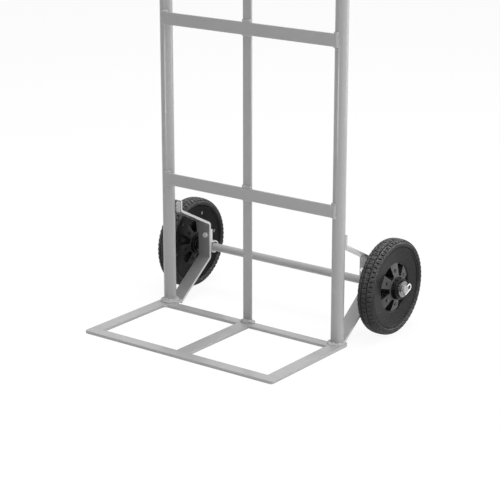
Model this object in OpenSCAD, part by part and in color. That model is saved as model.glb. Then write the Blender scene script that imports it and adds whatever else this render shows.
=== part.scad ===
// Two-wheeled hand truck: a welded ladder frame of round uprights and flat bars, an open nose
// plate, bent flat-bar brackets that hold the axle behind the frame, and two rubber-tyred wheels.
// +Z is up, the nose plate points to -Y, and the origin is on the floor under the middle.

/* [Uprights] */
// Distance between the centres of the two uprights
upright_spacing = 426; // [340:1:520]
// Outer diameter of the upright tube
upright_d = 26; // [20:1:34]
// Wall thickness of the upright tube
upright_wall = 1.5; // [1.2:0.1:3]
// Height of the start of the handle bend above the top crossbar's middle
bend_rise = 56; // [20:1:200]
// Radius of the handle bend, on the centre line
bend_r = 90; // [60:5:120]
// Angle that the handle leans back from upright: a rise of 3 in a run of 4
bend_angle = 53.1301; // [40:1:80]
// Length of the straight handle after the bend
handle_len = 135; // [110:5:180]

/* [Crossbars] */
// Height of a flat crossbar
crossbar_h = 25; // [16:1:40]
// Thickness of the flat bars in the frame
crossbar_t = 5; // [3:0.5:8]
// Height of the lowest crossbar's middle above the floor
crossbar_z = 278; // [240:1:320]
// Distance from one crossbar to the next
crossbar_pitch = 333; // [260:1:340]
// Width of the upright centre bar
centre_bar_w = 20; // [14:1:40]
// How far the centre bar stands above the top crossbar's middle
centre_bar_rise = 12; // [4:1:30]

/* [Nose plate] */
// Distance from an upright's centre out to the plate's side edge
plate_overhang = 21; // [14:1:27]
// Distance from the uprights' centres to the plate's front edge
plate_reach = 247; // [180:1:320]
// Thickness of the plate's flat bars
plate_t = 6; // [4:0.5:8]
// Width of the plate's front bar
front_bar_w = 25; // [18:1:40]
// Width of the plate's side bars
side_bar_w = 28; // [20:1:45]
// Width of the plate's centre bar
plate_centre_w = 30; // [20:1:45]
// Width of the rail under the frame
rail_w = 22; // [20:1:34]
// Distance from the uprights' centres forward to the rail's back edge
rail_set = 5; // [0:0.5:7]
// Radius of the two front corners
nose_corner_r = 6; // [2:0.5:12]
// Radius of the two back corners
heel_corner_r = 12; // [4:0.5:16]

/* [Axle brackets] */
// Width of the bracket's flat bar
strip_w = 30; // [24:1:40]
// Thickness of the bracket's flat bar
strip_t = 5; // [3:0.5:8]
// How far the bracket's middle sits inboard of the upright's middle
strip_inset = 6; // [0:0.5:10]
// Distance from the uprights' centres back to the bracket's upright face
strip_reach = 109; // [80:1:140]
// Height of the bracket's tab behind the upright
tab_h = 22; // [12:1:40]
// Rise of the bracket's arm from the upper bend to the tab
arm_rise = 50; // [20:1:60]
// Height of the upper bend above the axle
upper_bend_rise = 55; // [46:1:70]
// Depth of the lower bend below the axle
lower_bend_drop = 21; // [16:1:40]
// Radius of the bracket's bends, on the middle of the bar
strip_bend_r = 7; // [5:0.5:10]

/* [Axle] */
// Diameter of the axle
axle_d = 17; // [14:0.5:20]
// Thickness of the clip that holds the axle
clip_t = 2.4; // [1.5:0.1:4]
// Width of the clip along the axle
clip_w = 20; // [14:1:26]
// Clearance of the clip's loop round the axle
clip_gap = 2.3; // [0.1:0.1:3.5]
// How far the clip's middle sits inboard of the bracket's middle
clip_inset = 5; // [0:0.5:5]
// Height of the clip's bolt above the axle
bolt_rise = 29; // [24:1:32]
// Diameter of the clip's bolt
bolt_d = 6; // [5:1:8]
// Width across the flats of the bolt's head and nut
bolt_flats = 10; // [8:1:13]
// Width of the stop collar on the axle
collar_w = 6; // [4:0.5:12]
// Outer diameter of the stop collar
collar_d = 27; // [24:1:32]
// Thickness of the wheel washers
washer_t = 2; // [1:0.1:3]
// Outer diameter of the wheel washers
washer_d = 33; // [28:1:40]
// Diameter of the hairpin clip's wire
hairpin_d = 2.8; // [2:0.1:4]
// Angle by which the hairpin clip's hole is turned round the axle
hairpin_turn = 20; // [0:5:45]

/* [Wheels] */
// Diameter of the wheel over the tyre
wheel_d = 196; // [166:1:240]
// Width of the tyre
tyre_w = 36; // [34:1:60]
// Height of the tyre outside the rim's lip
tyre_h = 15; // [12:0.5:30]
// Height of the rim's lip above the drum that the tyre sits on
lip_h = 10; // [5:0.5:14]
// Wall thickness of the moulded rim
rim_wall = 3; // [2:0.1:4]
// Depth of the dish from the lip to the edge of the recess
rim_dish = 4; // [1:0.5:6]
// Width of the smooth band from the lip in to the recess
band_w = 33; // [26:1:36]
// Depth of the recess at its edge
recess_depth = 2; // [1:0.5:3]
// Number of spokes
spoke_count = 6; // [3:1:8]
// Rise of the spokes from the edge of the recess to the hub
spoke_rise = 6.5; // [2:0.5:10]
// Angle taken by one opening between spokes, at its outer edge
opening_angle = 29; // [16:1:32]
// Radius of the hub boss
hub_r = 23; // [20:0.5:26]
// How far the hub's outer face stands out of the tyre
hub_out_proud = 10.5; // [2:0.5:16]
// How far the hub's inner face stands out of the tyre
hub_in_proud = 4.5; // [1:0.5:10]
// Wall thickness of the hub bush
bush_wall = 3; // [2:0.5:5]
// Thickness of the hub bush's flange
bush_flange = 1.5; // [1:0.1:3]
// Diameter of a rim screw
screw_d = 3.6; // [3:0.1:5]
// Number of grooves round the tread
groove_count = 3; // [1:1:5]
// Depth of the tread grooves
groove_depth = 2.2; // [1:0.1:4]

/* [Grips] */
// Length of a handle grip
grip_len = 118; // [90:1:130]
// Wall thickness of the grip
grip_wall = 4; // [2.5:0.5:7]
// Number of ribs round the grip
grip_ribs = 9; // [4:1:12]

/* [Hidden] */
$fn = 72;

// Fits
running_gap = 0.05;  // radial clearance of a bush on the axle
end_gap = 0.2;       // axial clearance beside a turning wheel
seat_gap = 0.1;      // clearance round a fixed piece
cut = 1;             // how far a cutter runs past the face that it opens

// Frame
upright_r = upright_d / 2;
upright_x = upright_spacing / 2;
axle_r = axle_d / 2;
wheel_r = wheel_d / 2;
strip_back = strip_reach + strip_t;
clip_bend_r = axle_r + clip_gap + clip_t / 2;
axle_set = strip_back + clip_t + seat_gap + axle_r;
upright_y = (plate_reach - axle_set - wheel_r) / 2;
front_y = upright_y - plate_reach;
axle_y = upright_y + axle_set;
axle_z = wheel_r;
bar_back_y = upright_y - upright_r;
top_bar_z = crossbar_z + 2 * crossbar_pitch;
bend_z = top_bar_z + bend_rise;
bend_trim = 10;       // extra sweep of the bend, before its end is trimmed
handle_y = upright_y + bend_r * (1 - cos(bend_angle));
handle_z = bend_z + bend_r * sin(bend_angle);

// Nose plate
plate_edge_x = upright_x + plate_overhang;
side_inner_x = plate_edge_x - side_bar_w;
front_bar_back_y = front_y + front_bar_w;
heel_y = upright_y + upright_r;
rail_back_y = upright_y - rail_set;
rail_front_y = rail_back_y - rail_w;

// Brackets, clips and axle
strip_x = upright_x - strip_inset;
strip_edge_x = strip_x + strip_w / 2;
clip_x = strip_x - clip_inset;
strip_mid_y = upright_y + strip_reach + strip_t / 2;
upper_bend_z = axle_z + upper_bend_rise;
lower_bend_z = axle_z - lower_bend_drop;
arm_top_z = upper_bend_z + arm_rise;
tab_top_z = arm_top_z + tab_h;
tab_mid_y = heel_y + strip_t / 2;
bolt_z = axle_z + bolt_rise;
bolt_head_h = 4;
nut_h = 5;
bolt_clear_r = bolt_d / 2 + 0.3;
clip_top_z = bolt_z + 12;
clip_front_y = upright_y + strip_back + clip_t / 2;
clip_back_y = clip_front_y + 2 * clip_bend_r;
clip_rear_tab_y = clip_front_y + clip_t + 0.3;
clip_rear_face_y = clip_rear_tab_y + clip_t / 2;
hub_out = tyre_w / 2 + hub_out_proud;
hub_in = tyre_w / 2 + hub_in_proud;
collar_x = strip_edge_x + 0.5;
inner_washer_x = collar_x + collar_w;
wheel_x = inner_washer_x + washer_t + end_gap + bush_flange + hub_in;
outer_washer_x = wheel_x + hub_out + bush_flange + end_gap;
hairpin_x = outer_washer_x + washer_t + hairpin_d / 2 + 0.3;
axle_end_x = hairpin_x + hairpin_d / 2 + 4;
axle_chamfer = 1.5;

// Wheel, in its own frame: +Z is outboard and 0 is the middle of the tyre
rim_lip_r = wheel_r - tyre_h;
rim_seat_r = rim_lip_r - lip_h;
recess_r = rim_lip_r - band_w;
screw_circle_r = (recess_r + rim_lip_r) / 2 - 0.5;
lip_w = 3;
lip_z = tyre_w / 2 - 2.5;
seat_half_w = lip_z - lip_w;
recess_edge_z = lip_z - rim_dish;
floor_edge_z = recess_edge_z - recess_depth;
floor_hub_z = floor_edge_z + spoke_rise;
bush_r = axle_r + running_gap + bush_wall;
hub_bore_r = bush_r + seat_gap;
hub_core_r = hub_bore_r + 6;
opening_inner_r = hub_r + 2.5;
opening_outer_r = recess_r - 1;
opening_wall = 2.2;
screw_boss_r = screw_d / 2 + 2.8;
screw_head_r = screw_d / 2 + 1.8;
screw_head_h = 2.2;
spoke_boss_r = 3.8;
spoke_core_r = 1.9;
spoke_boss_h = 1.6;
spoke_boss_x = (hub_r + recess_r) / 2 - 1.5;
spoke_boss_z = floor_edge_z + spoke_rise * (recess_r - spoke_boss_x) / (recess_r - hub_r);
tread_r = wheel_r;
sidewall_mid_r = rim_lip_r + 0.25 * (tread_r - rim_lip_r);
right_wheel_turn = 33;
left_wheel_turn = 10;

// Grip
grip_bore_r = upright_r + seat_gap;
grip_r = grip_bore_r + grip_wall;
grip_start = handle_len + grip_wall - grip_len;
grip_pitch = (grip_len - 30) / grip_ribs;

// ---- Helpers ----

// Unit vector along v
function unit(v) = v / norm(v);

// Vector to the left of direction d
function left_of(d) = [-d.y, d.x];

// Vector v turned by an angle
function turned(v, angle) =
    [v.x * cos(angle) - v.y * sin(angle), v.x * sin(angle) + v.y * cos(angle)];

// Points of an arc about a centre
function arc(centre, r, from, to, steps) =
    [for (k = [0:steps]) centre + r * [cos(from + (to - from) * k / steps),
                                       sin(from + (to - from) * k / steps)]];

// Points round bend i of a path, at a signed distance to the left of it
function bend_points(path, i, r, side, steps) =
    let (a = unit(path[i] - path[i - 1]),
         b = unit(path[i + 1] - path[i]),
         turn = atan2(a.x * b.y - a.y * b.x, a * b),
         way = sign(turn),
         centre = path[i] - a * r * tan(abs(turn) / 2) + left_of(a) * way * r)
    [for (k = [0:steps]) centre + (r - way * side) * turned(-left_of(a) * way, turn * k / steps)];

// One long edge of a bent strip
function edge_points(path, radii, side, steps) =
    let (last = len(path) - 1)
    [path[0] + left_of(unit(path[1] - path[0])) * side,
     for (i = [1:last - 1]) each bend_points(path, i, radii[i], side, steps),
     path[last] + left_of(unit(path[last] - path[last - 1])) * side];

function reversed(points) = [for (i = [len(points) - 1:-1:0]) points[i]];

// Side view of a strip of thickness t that follows a path with bends
function strip_outline(path, radii, t, steps) =
    concat(edge_points(path, radii, t / 2, steps),
           reversed(edge_points(path, radii, -t / 2, steps)));

// Solid made from a side view in Y and Z, centred on x with width w
module side_view(x, w) {
    translate([x - w / 2, 0, 0])
        rotate([90, 0, 90])
            linear_extrude(w)
                children();
}

// Child on the right side, or its mirror image on the left
module on_side(side) {
    if (side < 0) mirror([1, 0, 0]) children();
    else children();
}

// Cylinder along Y from y0 to y1
module rod_y(x, y0, y1, z, r, sides = $fn) {
    translate([x, y0, z])
        rotate([-90, 0, 0])
            cylinder(h = y1 - y0, r = r, $fn = sides);
}

// Cylinder along X from x0 to x1, on the axle's line
module rod_x(x0, x1, r) {
    translate([x0, axle_y, axle_z])
        rotate([0, 90, 0])
            cylinder(h = x1 - x0, r = r);
}

// Ring along X from x0 to x1, on the axle's line
module ring_x(x0, x1, outer_r, bore_r) {
    difference() {
        rod_x(x0, x1, outer_r);
        rod_x(x0 - cut, x1 + cut, bore_r);
    }
}

// ---- Frame ----

// Straight tube, bend and handle, as a solid rod of radius r that runs over at both ends.
// The bend is trimmed at the plane where the handle starts, so that the two meet exactly.
module upright_rod(x, r, over) {
    translate([x, upright_y, plate_t - over])
        cylinder(h = bend_z - plate_t + over, r = r);
    translate([x, upright_y + bend_r, bend_z])
        rotate([90, 0, -90]) {
            difference() {
                rotate_extrude(angle = bend_angle + bend_trim)
                    translate([bend_r, 0])
                        circle(r = r);
                rotate([0, 0, bend_angle])
                    translate([bend_r - 2 * r, 0, -2 * r])
                        cube([4 * r, bend_r, 4 * r]);
            }
            rotate([0, 0, bend_angle])
                translate([bend_r, 0, 0])
                    rotate([-90, 0, 0])
                        cylinder(h = handle_len + over, r = r);
        }
}

module upright(side) {
    color([0.62, 0.63, 0.64])
        difference() {
            upright_rod(side * upright_x, upright_r, 0);
            upright_rod(side * upright_x, upright_r - upright_wall, cut);
        }
}

// Flat bar across the front of both uprights, from middle to middle
module crossbar(level) {
    color([0.62, 0.63, 0.64])
        translate([-upright_x, bar_back_y - crossbar_t,
                   crossbar_z + level * crossbar_pitch - crossbar_h / 2])
            cube([upright_spacing, crossbar_t, crossbar_h]);
}

module centre_bar() {
    color([0.62, 0.63, 0.64])
        translate([-centre_bar_w / 2, bar_back_y, plate_t])
            cube([centre_bar_w, crossbar_t, top_bar_z + centre_bar_rise - plate_t]);
}

// ---- Nose plate ----

module plate_front_bar() {
    r = nose_corner_r;
    outline = concat(
        [[plate_edge_x, front_bar_back_y], [-plate_edge_x, front_bar_back_y]],
        arc([-plate_edge_x + r, front_y + r], r, 180, 270, 8),
        arc([plate_edge_x - r, front_y + r], r, 270, 360, 8));
    color([0.66, 0.67, 0.68])
        linear_extrude(plate_t)
            polygon(outline);
}

module plate_side_bar(side) {
    r = heel_corner_r;
    outline = concat(
        [[side_inner_x, front_bar_back_y], [plate_edge_x, front_bar_back_y]],
        arc([plate_edge_x - r, heel_y - r], r, 0, 90, 8),
        [[side_inner_x, heel_y]]);
    color([0.66, 0.67, 0.68])
        on_side(side)
            linear_extrude(plate_t)
                polygon(outline);
}

module plate_centre_bar() {
    color([0.66, 0.67, 0.68])
        translate([-plate_centre_w / 2, front_bar_back_y, 0])
            cube([plate_centre_w, rail_front_y - front_bar_back_y, plate_t]);
}

module plate_back_rail() {
    color([0.66, 0.67, 0.68])
        translate([-side_inner_x, rail_front_y, 0])
            cube([2 * side_inner_x, rail_w, plate_t]);
}

// ---- Axle brackets and clips ----

// Flat bar bent from a tab on the upright, back to the axle and down to the plate's heel
module axle_bracket(side) {
    foot_z = 0.65 * strip_t;
    slope = (lower_bend_z - foot_z) / (strip_mid_y - heel_y);
    run_on = 12;
    path = [
        [tab_mid_y, tab_top_z],
        [tab_mid_y, arm_top_z],
        [strip_mid_y, upper_bend_z],
        [strip_mid_y, lower_bend_z],
        [heel_y - run_on, foot_z - slope * run_on]
    ];
    radii = [0, strip_bend_r, strip_bend_r, strip_bend_r, 0];
    color([0.58, 0.59, 0.6])
        on_side(side)
            difference() {
                side_view(strip_x, strip_w)
                    polygon(strip_outline(path, radii, strip_t, 6));
                translate([strip_x - strip_w, heel_y - 4 * run_on, -2 * run_on])
                    cube([2 * strip_w, 4 * run_on, 5 * run_on]);
                rod_y(clip_x, strip_mid_y - strip_t, strip_mid_y + strip_t, bolt_z, bolt_clear_r);
            }
}

// Steel strap that loops loosely round the axle and closes in two tabs under the bolt. The axle
// rests against the strap's front run.
module axle_clip(side) {
    path = [
        [clip_front_y, clip_top_z],
        [clip_front_y, axle_z - clip_bend_r],
        [clip_back_y, axle_z - clip_bend_r],
        [clip_back_y, axle_z + clip_bend_r],
        [clip_rear_tab_y, axle_z + clip_bend_r],
        [clip_rear_tab_y, clip_top_z]
    ];
    corner_r = clip_bend_r * 0.999;
    radii = [0, corner_r, corner_r, corner_r, clip_t, 0];
    color([0.75, 0.76, 0.77])
        on_side(side)
            difference() {
                side_view(clip_x, clip_w)
                    polygon(strip_outline(path, radii, clip_t, 8));
                rod_y(clip_x, clip_front_y - 2 * clip_t, clip_rear_face_y + clip_t, bolt_z,
                      bolt_clear_r);
            }
}

// Radius of a hexagon's corners for a width across its flats
function hex_r(flats) = flats / 2 / cos(30);

// Bolts from behind, with the head on the clip's rear tab and the thread's end level with the nut
module clip_bolts() {
    end_y = upright_y + strip_reach - nut_h;
    color([0.8, 0.8, 0.82])
        for (side = [-1, 1]) {
            rod_y(side * clip_x, clip_rear_face_y, clip_rear_face_y + bolt_head_h, bolt_z,
                  hex_r(bolt_flats), 6);
            rod_y(side * clip_x, end_y, clip_rear_face_y + cut, bolt_z, bolt_d / 2);
        }
}

module clip_nuts() {
    face_y = upright_y + strip_reach;
    color([0.8, 0.8, 0.82])
        for (side = [-1, 1])
            difference() {
                rod_y(side * clip_x, face_y - nut_h, face_y, bolt_z, hex_r(bolt_flats), 6);
                rod_y(side * clip_x, face_y - nut_h - cut, face_y + cut, bolt_z,
                      bolt_d / 2 + running_gap);
            }
}

// ---- Axle and what is on it ----

module axle() {
    straight = axle_end_x - axle_chamfer;
    color([0.6, 0.61, 0.62])
        difference() {
            union() {
                rod_x(-straight, straight, axle_r);
                for (side = [-1, 1])
                    on_side(side)
                        translate([straight, axle_y, axle_z])
                            rotate([0, 90, 0])
                                cylinder(h = axle_chamfer, r1 = axle_r, r2 = axle_r - axle_chamfer);
            }
            for (side = [-1, 1])
                on_side(side)
                    hairpin_place()
                        rotate([90, 0, 0])
                            cylinder(h = axle_d + 2 * cut, r = hairpin_d / 2 + 0.2, center = true);
        }
}

module axle_collars() {
    color([0.7, 0.71, 0.72])
        for (side = [-1, 1])
            on_side(side)
                ring_x(collar_x, collar_x + collar_w, collar_d / 2, axle_r + running_gap);
}

module inner_washers() {
    color([0.8, 0.8, 0.82])
        for (side = [-1, 1])
            on_side(side)
                ring_x(inner_washer_x, inner_washer_x + washer_t, washer_d / 2, axle_r + seat_gap);
}

module outer_washers() {
    color([0.8, 0.8, 0.82])
        for (side = [-1, 1])
            on_side(side)
                ring_x(outer_washer_x, outer_washer_x + washer_t, washer_d / 2, axle_r + seat_gap);
}

// Places a hairpin clip's own frame at the hole in the axle's right end
module hairpin_place() {
    translate([hairpin_x, axle_y, axle_z])
        rotate([hairpin_turn, 0, 0])
            children();
}

// Hairpin clip through the axle's end: a straight leg in the hole, a coiled eye behind the axle,
// and an outer leg that springs down in front of the washer. The legs enter the coil at a tangent.
module hairpin_clips() {
    wire_r = hairpin_d / 2;
    leg_r = 0.92 * wire_r;
    coil_r = 2.2 * hairpin_d;
    coil = [axle_r + coil_r + wire_r + 0.6, -coil_r];
    leg_tip = [-wire_r, -0.4 * washer_d];
    reach = norm(leg_tip - coil);
    leave = atan2(leg_tip.y - coil.y, leg_tip.x - coil.x) + acos(coil_r / reach);
    leg_start = coil + coil_r * [cos(leave), sin(leave)];
    leg_len = norm(leg_tip - leg_start);
    leg_slope = atan2(leg_tip.y - leg_start.y, leg_tip.x - leg_start.x);
    straight_start = axle_r + hairpin_d;
    color([0.82, 0.82, 0.84])
        for (side = [-1, 1])
            on_side(side)
                hairpin_place() {
                    translate([0, -straight_start, 0])
                        rotate([-90, 0, 0])
                            cylinder(h = straight_start + coil.x, r = leg_r, $fn = 24);
                    translate([0, coil.x, coil.y])
                        rotate([0, 90, 0])
                            rotate_extrude()
                                translate([coil_r, 0])
                                    circle(r = wire_r, $fn = 24);
                    translate([0, leg_start.x, leg_start.y])
                        rotate([leg_slope, 0, 0])
                            rotate([-90, 0, 0])
                                cylinder(h = leg_len, r = leg_r, $fn = 24);
                }
}

// ---- Wheels ----

// Places a wheel's own frame on the axle, turned to the angle that its spokes rest at
module wheel_place(side) {
    on_side(side)
        translate([wheel_x, axle_y, axle_z])
            rotate([0, 90, 0])
                rotate([0, 0, side < 0 ? left_wheel_turn : right_wheel_turn])
                    children();
}

// Half of the tyre's section, from the bead out to the middle of the tread
tyre_square = 2.8;
function tyre_side(steps) =
    [for (k = [0:steps])
        let (t = 90 * k / steps)
        [sidewall_mid_r + (tread_r - sidewall_mid_r) * pow(sin(t), 2 / tyre_square),
         tyre_w / 2 * pow(cos(t), 2 / tyre_square)]];

module tyre(side) {
    bead_r = rim_seat_r + seat_gap;
    bead_z = seat_half_w - seat_gap;
    lip_top_r = rim_lip_r + seat_gap;
    half = concat([[bead_r, bead_z], [lip_top_r, bead_z], [lip_top_r + 0.6, lip_z - 0.5]],
                  tyre_side(10));
    section = concat(half, reversed([for (p = half) [p.x, -p.y]]));
    groove_step = tyre_w / (groove_count + 1);
    color([0.16, 0.16, 0.17])
        wheel_place(side)
            difference() {
                rotate_extrude()
                    polygon(section);
                for (i = [0:groove_count - 1])
                    translate([0, 0, (i - (groove_count - 1) / 2) * groove_step - 0.9])
                        rotate_extrude()
                            translate([tread_r - groove_depth, 0])
                                square([2 * groove_depth, 1.8]);
            }
}

// Section of one moulded half of the rim: drum, lip, dished band, recess, spoke floor and hub
function rim_section(hub_z) = [
    [hub_bore_r, 0],
    [hub_core_r, 0],
    [hub_core_r, floor_hub_z - rim_wall],
    [recess_r, floor_edge_z - rim_wall],
    [recess_r + rim_wall, floor_edge_z - rim_wall],
    [recess_r + rim_wall, recess_edge_z - rim_wall],
    [rim_seat_r - rim_wall, lip_z - 2 - rim_wall],
    [rim_seat_r - rim_wall, 0],
    [rim_seat_r, 0],
    [rim_seat_r, seat_half_w],
    [rim_lip_r, seat_half_w],
    [rim_lip_r, lip_z - 1],
    [rim_lip_r - 1, lip_z],
    [rim_lip_r - 3, lip_z],
    [rim_lip_r - 4.5, lip_z - 1.6],
    [recess_r + 1.5, recess_edge_z],
    [recess_r, recess_edge_z - 1.5],
    [recess_r, floor_edge_z],
    [hub_r + 1.5, floor_hub_z],
    [hub_r, floor_hub_z + 1.5],
    [hub_r - 0.5, hub_z - 1.5],
    [hub_r - 2, hub_z],
    [hub_bore_r, hub_z]
];

// Outline of one opening between spokes, grown by a margin
function opening_outline(grow) =
    let (r0 = opening_inner_r - grow,
         r1 = opening_outer_r + grow,
         half_in = opening_angle * 0.36 + asin(grow / r0),
         half_out = opening_angle / 2 + asin(grow / r1))
    concat(arc([0, 0], r1, -half_out, half_out, 6), arc([0, 0], r0, half_in, -half_in, 4));

// Thin walls that frame each opening behind the spoke floor
module opening_walls() {
    intersection() {
        union()
            for (i = [0:spoke_count - 1])
                rotate([0, 0, i * 360 / spoke_count])
                    linear_extrude(floor_hub_z)
                        polygon(opening_outline(opening_wall));
        rotate_extrude()
            polygon([
                [hub_core_r - 1, 0],
                [recess_r + 1, 0],
                [recess_r + 1, floor_edge_z - rim_wall / 2],
                [hub_core_r - 1, floor_hub_z - rim_wall / 2]
            ]);
    }
}

// Low round boss on the slope of each spoke
module spoke_bosses() {
    for (i = [0:spoke_count - 1])
        rotate([0, 0, (i + 0.5) * 360 / spoke_count])
            translate([spoke_boss_x, 0, spoke_boss_z - rim_wall / 2])
                cylinder(h = rim_wall / 2 + spoke_boss_h, r = spoke_boss_r);
}

// Blind core holes down the middle of the spoke bosses
module spoke_boss_cores() {
    for (i = [0:spoke_count - 1])
        rotate([0, 0, (i + 0.5) * 360 / spoke_count])
            translate([spoke_boss_x, 0, spoke_boss_z - rim_wall / 3])
                cylinder(h = rim_wall / 3 + spoke_boss_h + cut, r = spoke_core_r);
}

// One half of the rim, standing on the wheel's middle plane with its face towards +Z
module rim_half(hub_z, screw_z) {
    difference() {
        union() {
            rotate_extrude()
                polygon(rim_section(hub_z));
            opening_walls();
            for (i = [0:spoke_count - 1])
                rotate([0, 0, (i + 0.5) * 360 / spoke_count])
                    translate([screw_circle_r, 0, 0])
                        cylinder(h = recess_edge_z - rim_wall / 2, r = screw_boss_r);
            spoke_bosses();
        }
        spoke_boss_cores();
        for (i = [0:spoke_count - 1]) {
            rotate([0, 0, i * 360 / spoke_count])
                translate([0, 0, -cut])
                    linear_extrude(hub_out)
                        polygon(opening_outline(0));
            rotate([0, 0, (i + 0.5) * 360 / spoke_count])
                translate([screw_circle_r, 0, -cut])
                    cylinder(h = screw_z + cut, r = screw_d / 2 + seat_gap);
        }
        children();
    }
}

screw_seat_z = recess_edge_z - 1.5;

module rim_outer(side) {
    color([0.12, 0.12, 0.13])
        wheel_place(side)
            rim_half(hub_out, recess_edge_z - rim_wall);
}

module rim_inner(side) {
    color([0.12, 0.12, 0.13])
        wheel_place(side)
            mirror([0, 0, 1])
                rim_half(hub_in, screw_seat_z + cut)
                    for (i = [0:spoke_count - 1])
                        rotate([0, 0, (i + 0.5) * 360 / spoke_count])
                            translate([screw_circle_r, 0, screw_seat_z])
                                cylinder(h = lip_z, r = screw_head_r + 0.3);
}

module rim_screws(side) {
    tip_z = recess_edge_z - rim_wall - 1;
    color([0.7, 0.7, 0.72])
        wheel_place(side)
            for (i = [0:spoke_count - 1])
                rotate([0, 0, (i + 0.5) * 360 / spoke_count])
                    translate([screw_circle_r, 0, 0]) {
                        translate([0, 0, -screw_seat_z])
                            cylinder(h = screw_seat_z + tip_z, r = screw_d / 2);
                        translate([0, 0, -screw_seat_z - screw_head_h])
                            cylinder(h = screw_head_h, r = screw_head_r);
                    }
}

module hub_bush(hub_z) {
    bush_len = hub_z - 4;
    difference() {
        union() {
            translate([0, 0, hub_z - bush_len])
                cylinder(h = bush_len, r = bush_r);
            translate([0, 0, hub_z])
                cylinder(h = bush_flange, r = bush_r + 3);
        }
        translate([0, 0, -cut])
            cylinder(h = hub_z + bush_flange + 2 * cut, r = axle_r + running_gap);
    }
}

module hub_bushes(side) {
    color([0.85, 0.85, 0.82])
        wheel_place(side) {
            hub_bush(hub_out);
            mirror([0, 0, 1])
                hub_bush(hub_in);
        }
}

// ---- Grips ----

// Soft sleeve on the handle's end, with a guard ring in front, ribs and a domed end
module grip(side) {
    rib_h = 1.2;
    dome_r = grip_r * 0.55;
    end_z = grip_start + grip_len;
    rib_start = grip_start + 12;
    ribs = [for (i = [0:grip_ribs - 1])
        let (z = rib_start + i * grip_pitch)
        each [[grip_r, z], [grip_r - rib_h, z + grip_pitch * 0.2],
              [grip_r - rib_h, z + grip_pitch * 0.5], [grip_r, z + grip_pitch * 0.7]]];
    outline = concat(
        [[grip_bore_r, grip_start], [grip_r + 3, grip_start], [grip_r + 3.6, grip_start + 1.5],
         [grip_r + 3, grip_start + 4], [grip_r, grip_start + 7]],
        ribs,
        arc([grip_r - dome_r, end_z - dome_r], dome_r, 0, 90, 8),
        [[0, end_z], [0, handle_len + seat_gap], [grip_bore_r, handle_len + seat_gap]]);
    color([0.13, 0.13, 0.14])
        translate([side * upright_x, handle_y, handle_z])
            rotate([-bend_angle, 0, 0])
                rotate_extrude()
                    polygon(outline);
}

upright(-1);  // left_upright
upright(1);  // right_upright
crossbar(0);  // lower_crossbar
crossbar(1);  // middle_crossbar
crossbar(2);  // top_crossbar
centre_bar();
plate_front_bar();
plate_side_bar(-1);  // plate_left_bar
plate_side_bar(1);  // plate_right_bar
plate_centre_bar();
plate_back_rail();
axle_bracket(-1);  // left_axle_bracket
axle_bracket(1);  // right_axle_bracket
axle_clip(-1);  // left_axle_clip
axle_clip(1);  // right_axle_clip
clip_bolts();
clip_nuts();
axle();
axle_collars();
inner_washers();
outer_washers();
hairpin_clips();
tyre(-1);  // left_tyre
tyre(1);  // right_tyre
rim_outer(-1);  // left_rim_outer
rim_outer(1);  // right_rim_outer
rim_inner(-1);  // left_rim_inner
rim_inner(1);  // right_rim_inner
hub_bushes(-1);  // left_hub_bushes
hub_bushes(1);  // right_hub_bushes
rim_screws(-1);  // left_rim_screws
rim_screws(1);  // right_rim_screws
grip(-1);  // left_grip
grip(1);  // right_grip
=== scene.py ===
import math
import random

import bmesh
import bpy
from mathutils import Matrix, Vector


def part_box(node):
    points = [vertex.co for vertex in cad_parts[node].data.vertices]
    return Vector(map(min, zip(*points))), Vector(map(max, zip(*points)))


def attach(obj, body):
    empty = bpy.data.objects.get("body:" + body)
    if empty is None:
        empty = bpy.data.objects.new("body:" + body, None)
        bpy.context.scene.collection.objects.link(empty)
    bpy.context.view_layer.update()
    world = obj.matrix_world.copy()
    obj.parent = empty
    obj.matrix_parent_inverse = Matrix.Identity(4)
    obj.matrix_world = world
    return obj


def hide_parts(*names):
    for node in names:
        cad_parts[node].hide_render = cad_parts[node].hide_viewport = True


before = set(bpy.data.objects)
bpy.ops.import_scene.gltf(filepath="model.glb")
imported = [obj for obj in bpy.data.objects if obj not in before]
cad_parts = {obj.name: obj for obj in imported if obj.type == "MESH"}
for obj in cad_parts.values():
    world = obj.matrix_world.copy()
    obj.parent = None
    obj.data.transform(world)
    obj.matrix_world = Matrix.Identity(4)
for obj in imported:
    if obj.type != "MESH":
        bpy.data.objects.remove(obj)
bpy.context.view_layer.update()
MM = 0.001
X_AXIS = Vector((1, 0, 0))
SIDES = {"left": -1, "right": 1}


# ---------------------------------------------------------------- working in edit mode

def deselect_all():
    bpy.ops.object.select_all(action="DESELECT")


def take(obj):
    """Makes one object the active and only selected one."""
    deselect_all()
    obj.select_set(True)
    bpy.context.view_layer.objects.active = obj
    return obj


def edit(obj):
    """Takes one object into edit mode."""
    take(obj)
    bpy.ops.object.mode_set(mode="EDIT")


def leave_edit():
    bpy.ops.object.mode_set(mode="OBJECT")


def pick_faces(obj, wanted):
    """Selects the faces that pass a test, in edit mode."""
    bpy.ops.mesh.select_mode(type="FACE")
    bpy.ops.mesh.select_all(action="DESELECT")
    mesh = bmesh.from_edit_mesh(obj.data)
    for face in mesh.faces:
        face.select_set(bool(wanted(face)))
    bmesh.update_edit_mesh(obj.data)


def pick_verts(obj, wanted):
    """Selects the vertices that pass a test, in edit mode."""
    bpy.ops.mesh.select_mode(type="VERT")
    bpy.ops.mesh.select_all(action="DESELECT")
    mesh = bmesh.from_edit_mesh(obj.data)
    for vert in mesh.verts:
        vert.select_set(bool(wanted(vert)))
    mesh.select_flush_mode()
    bmesh.update_edit_mesh(obj.data)


def clean_up(obj, distance=0.01 * MM):
    """Merges doubles and turns every face outwards."""
    edit(obj)
    bpy.ops.mesh.select_all(action="SELECT")
    bpy.ops.mesh.remove_doubles(threshold=distance)
    bpy.ops.mesh.normals_make_consistent(inside=False)
    leave_edit()


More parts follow.
